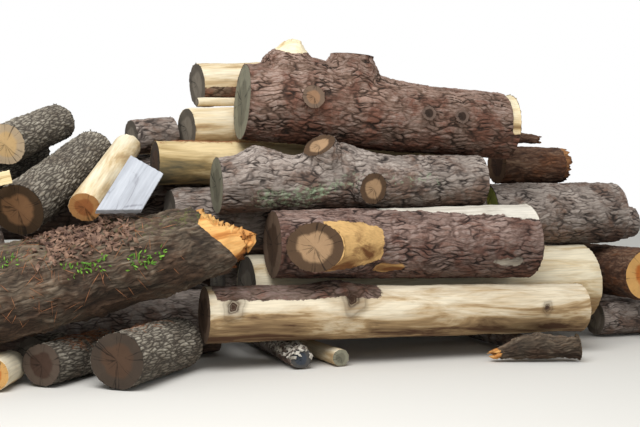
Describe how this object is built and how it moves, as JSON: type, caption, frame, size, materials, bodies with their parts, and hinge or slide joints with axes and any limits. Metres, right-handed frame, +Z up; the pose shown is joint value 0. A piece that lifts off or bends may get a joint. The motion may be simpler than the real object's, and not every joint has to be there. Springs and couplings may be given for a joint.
{
  "type": "stack of logs",
  "caption": "Roadside stack of felled, weathered logs: bark, peeled and mossy logs laid in tiers and leaning, with sawn ends and cut branch stubs.",
  "frame": {"origin": "on the ground under the middle of the whole stack's box", "axes": "+X along the front logs to the right as seen from the front, +Y to the back, +Z up"},
  "size_m": [8.9388, 3.4834, 2.9662],
  "materials": {
    "mossy_bark": "old bark with moss and rot",
    "oak_bark": "rough ridged bark, grey",
    "peeled_wood": "peeled, dry and stained",
    "pine_bark": "rough plate bark, grey-brown",
    "weathered_wood": "grey weathered sawn wood"
  },
  "bodies": {
    "root": {"corner_log": "pine_bark", "far_right_log": "pine_bark", "forked_log": "pine_bark", "fourth_base_log": "pine_bark", "front_oak_log": "oak_bark", "grey_ended_log": "pine_bark", "leaning_oak_log": "oak_bark", "left_back_base_log": "pine_bark", "left_base_log": "pine_bark", "left_bearer_log": "pine_bark", "left_edge_log": "pine_bark", "left_prop_log": "pine_bark", "lichen_log": "pine_bark", "lower_right_log": "pine_bark", "middle_bearer_log": "pine_bark", "mossy_log": "mossy_bark", "orange_ended_log": "peeled_wood", "orange_log": "pine_bark", "pale_back_log": "peeled_wood", "pale_log": "peeled_wood", "peeled_bottom_log": "peeled_wood", "right_back_base_log": "pine_bark", "right_base_log": "pine_bark", "right_bearer_log": "pine_bark", "right_grey_log": "pine_bark", "rotten_chunk": "mossy_bark", "rotten_log": "mossy_bark", "sawn_wedge": "peeled_wood", "second_oak_log": "oak_bark", "second_tier_back_log": "pine_bark", "second_tier_left_log": "pine_bark", "second_tier_log": "pine_bark", "shaded_log": "pine_bark", "small_pale_log": "peeled_wood", "small_top_log": "peeled_wood", "thin_pole": "pine_bark", "third_base_log": "pine_bark", "third_tier_back_log": "pine_bark", "third_tier_left_log": "pine_bark", "third_tier_log": "pine_bark", "top_log": "pine_bark", "torn_stump": "mossy_bark", "upper_back_log": "pine_bark", "upper_oak_log": "oak_bark", "weathered_slab": "weathered_wood", "yellow_log": "peeled_wood"}
  },
  "joints": []
}
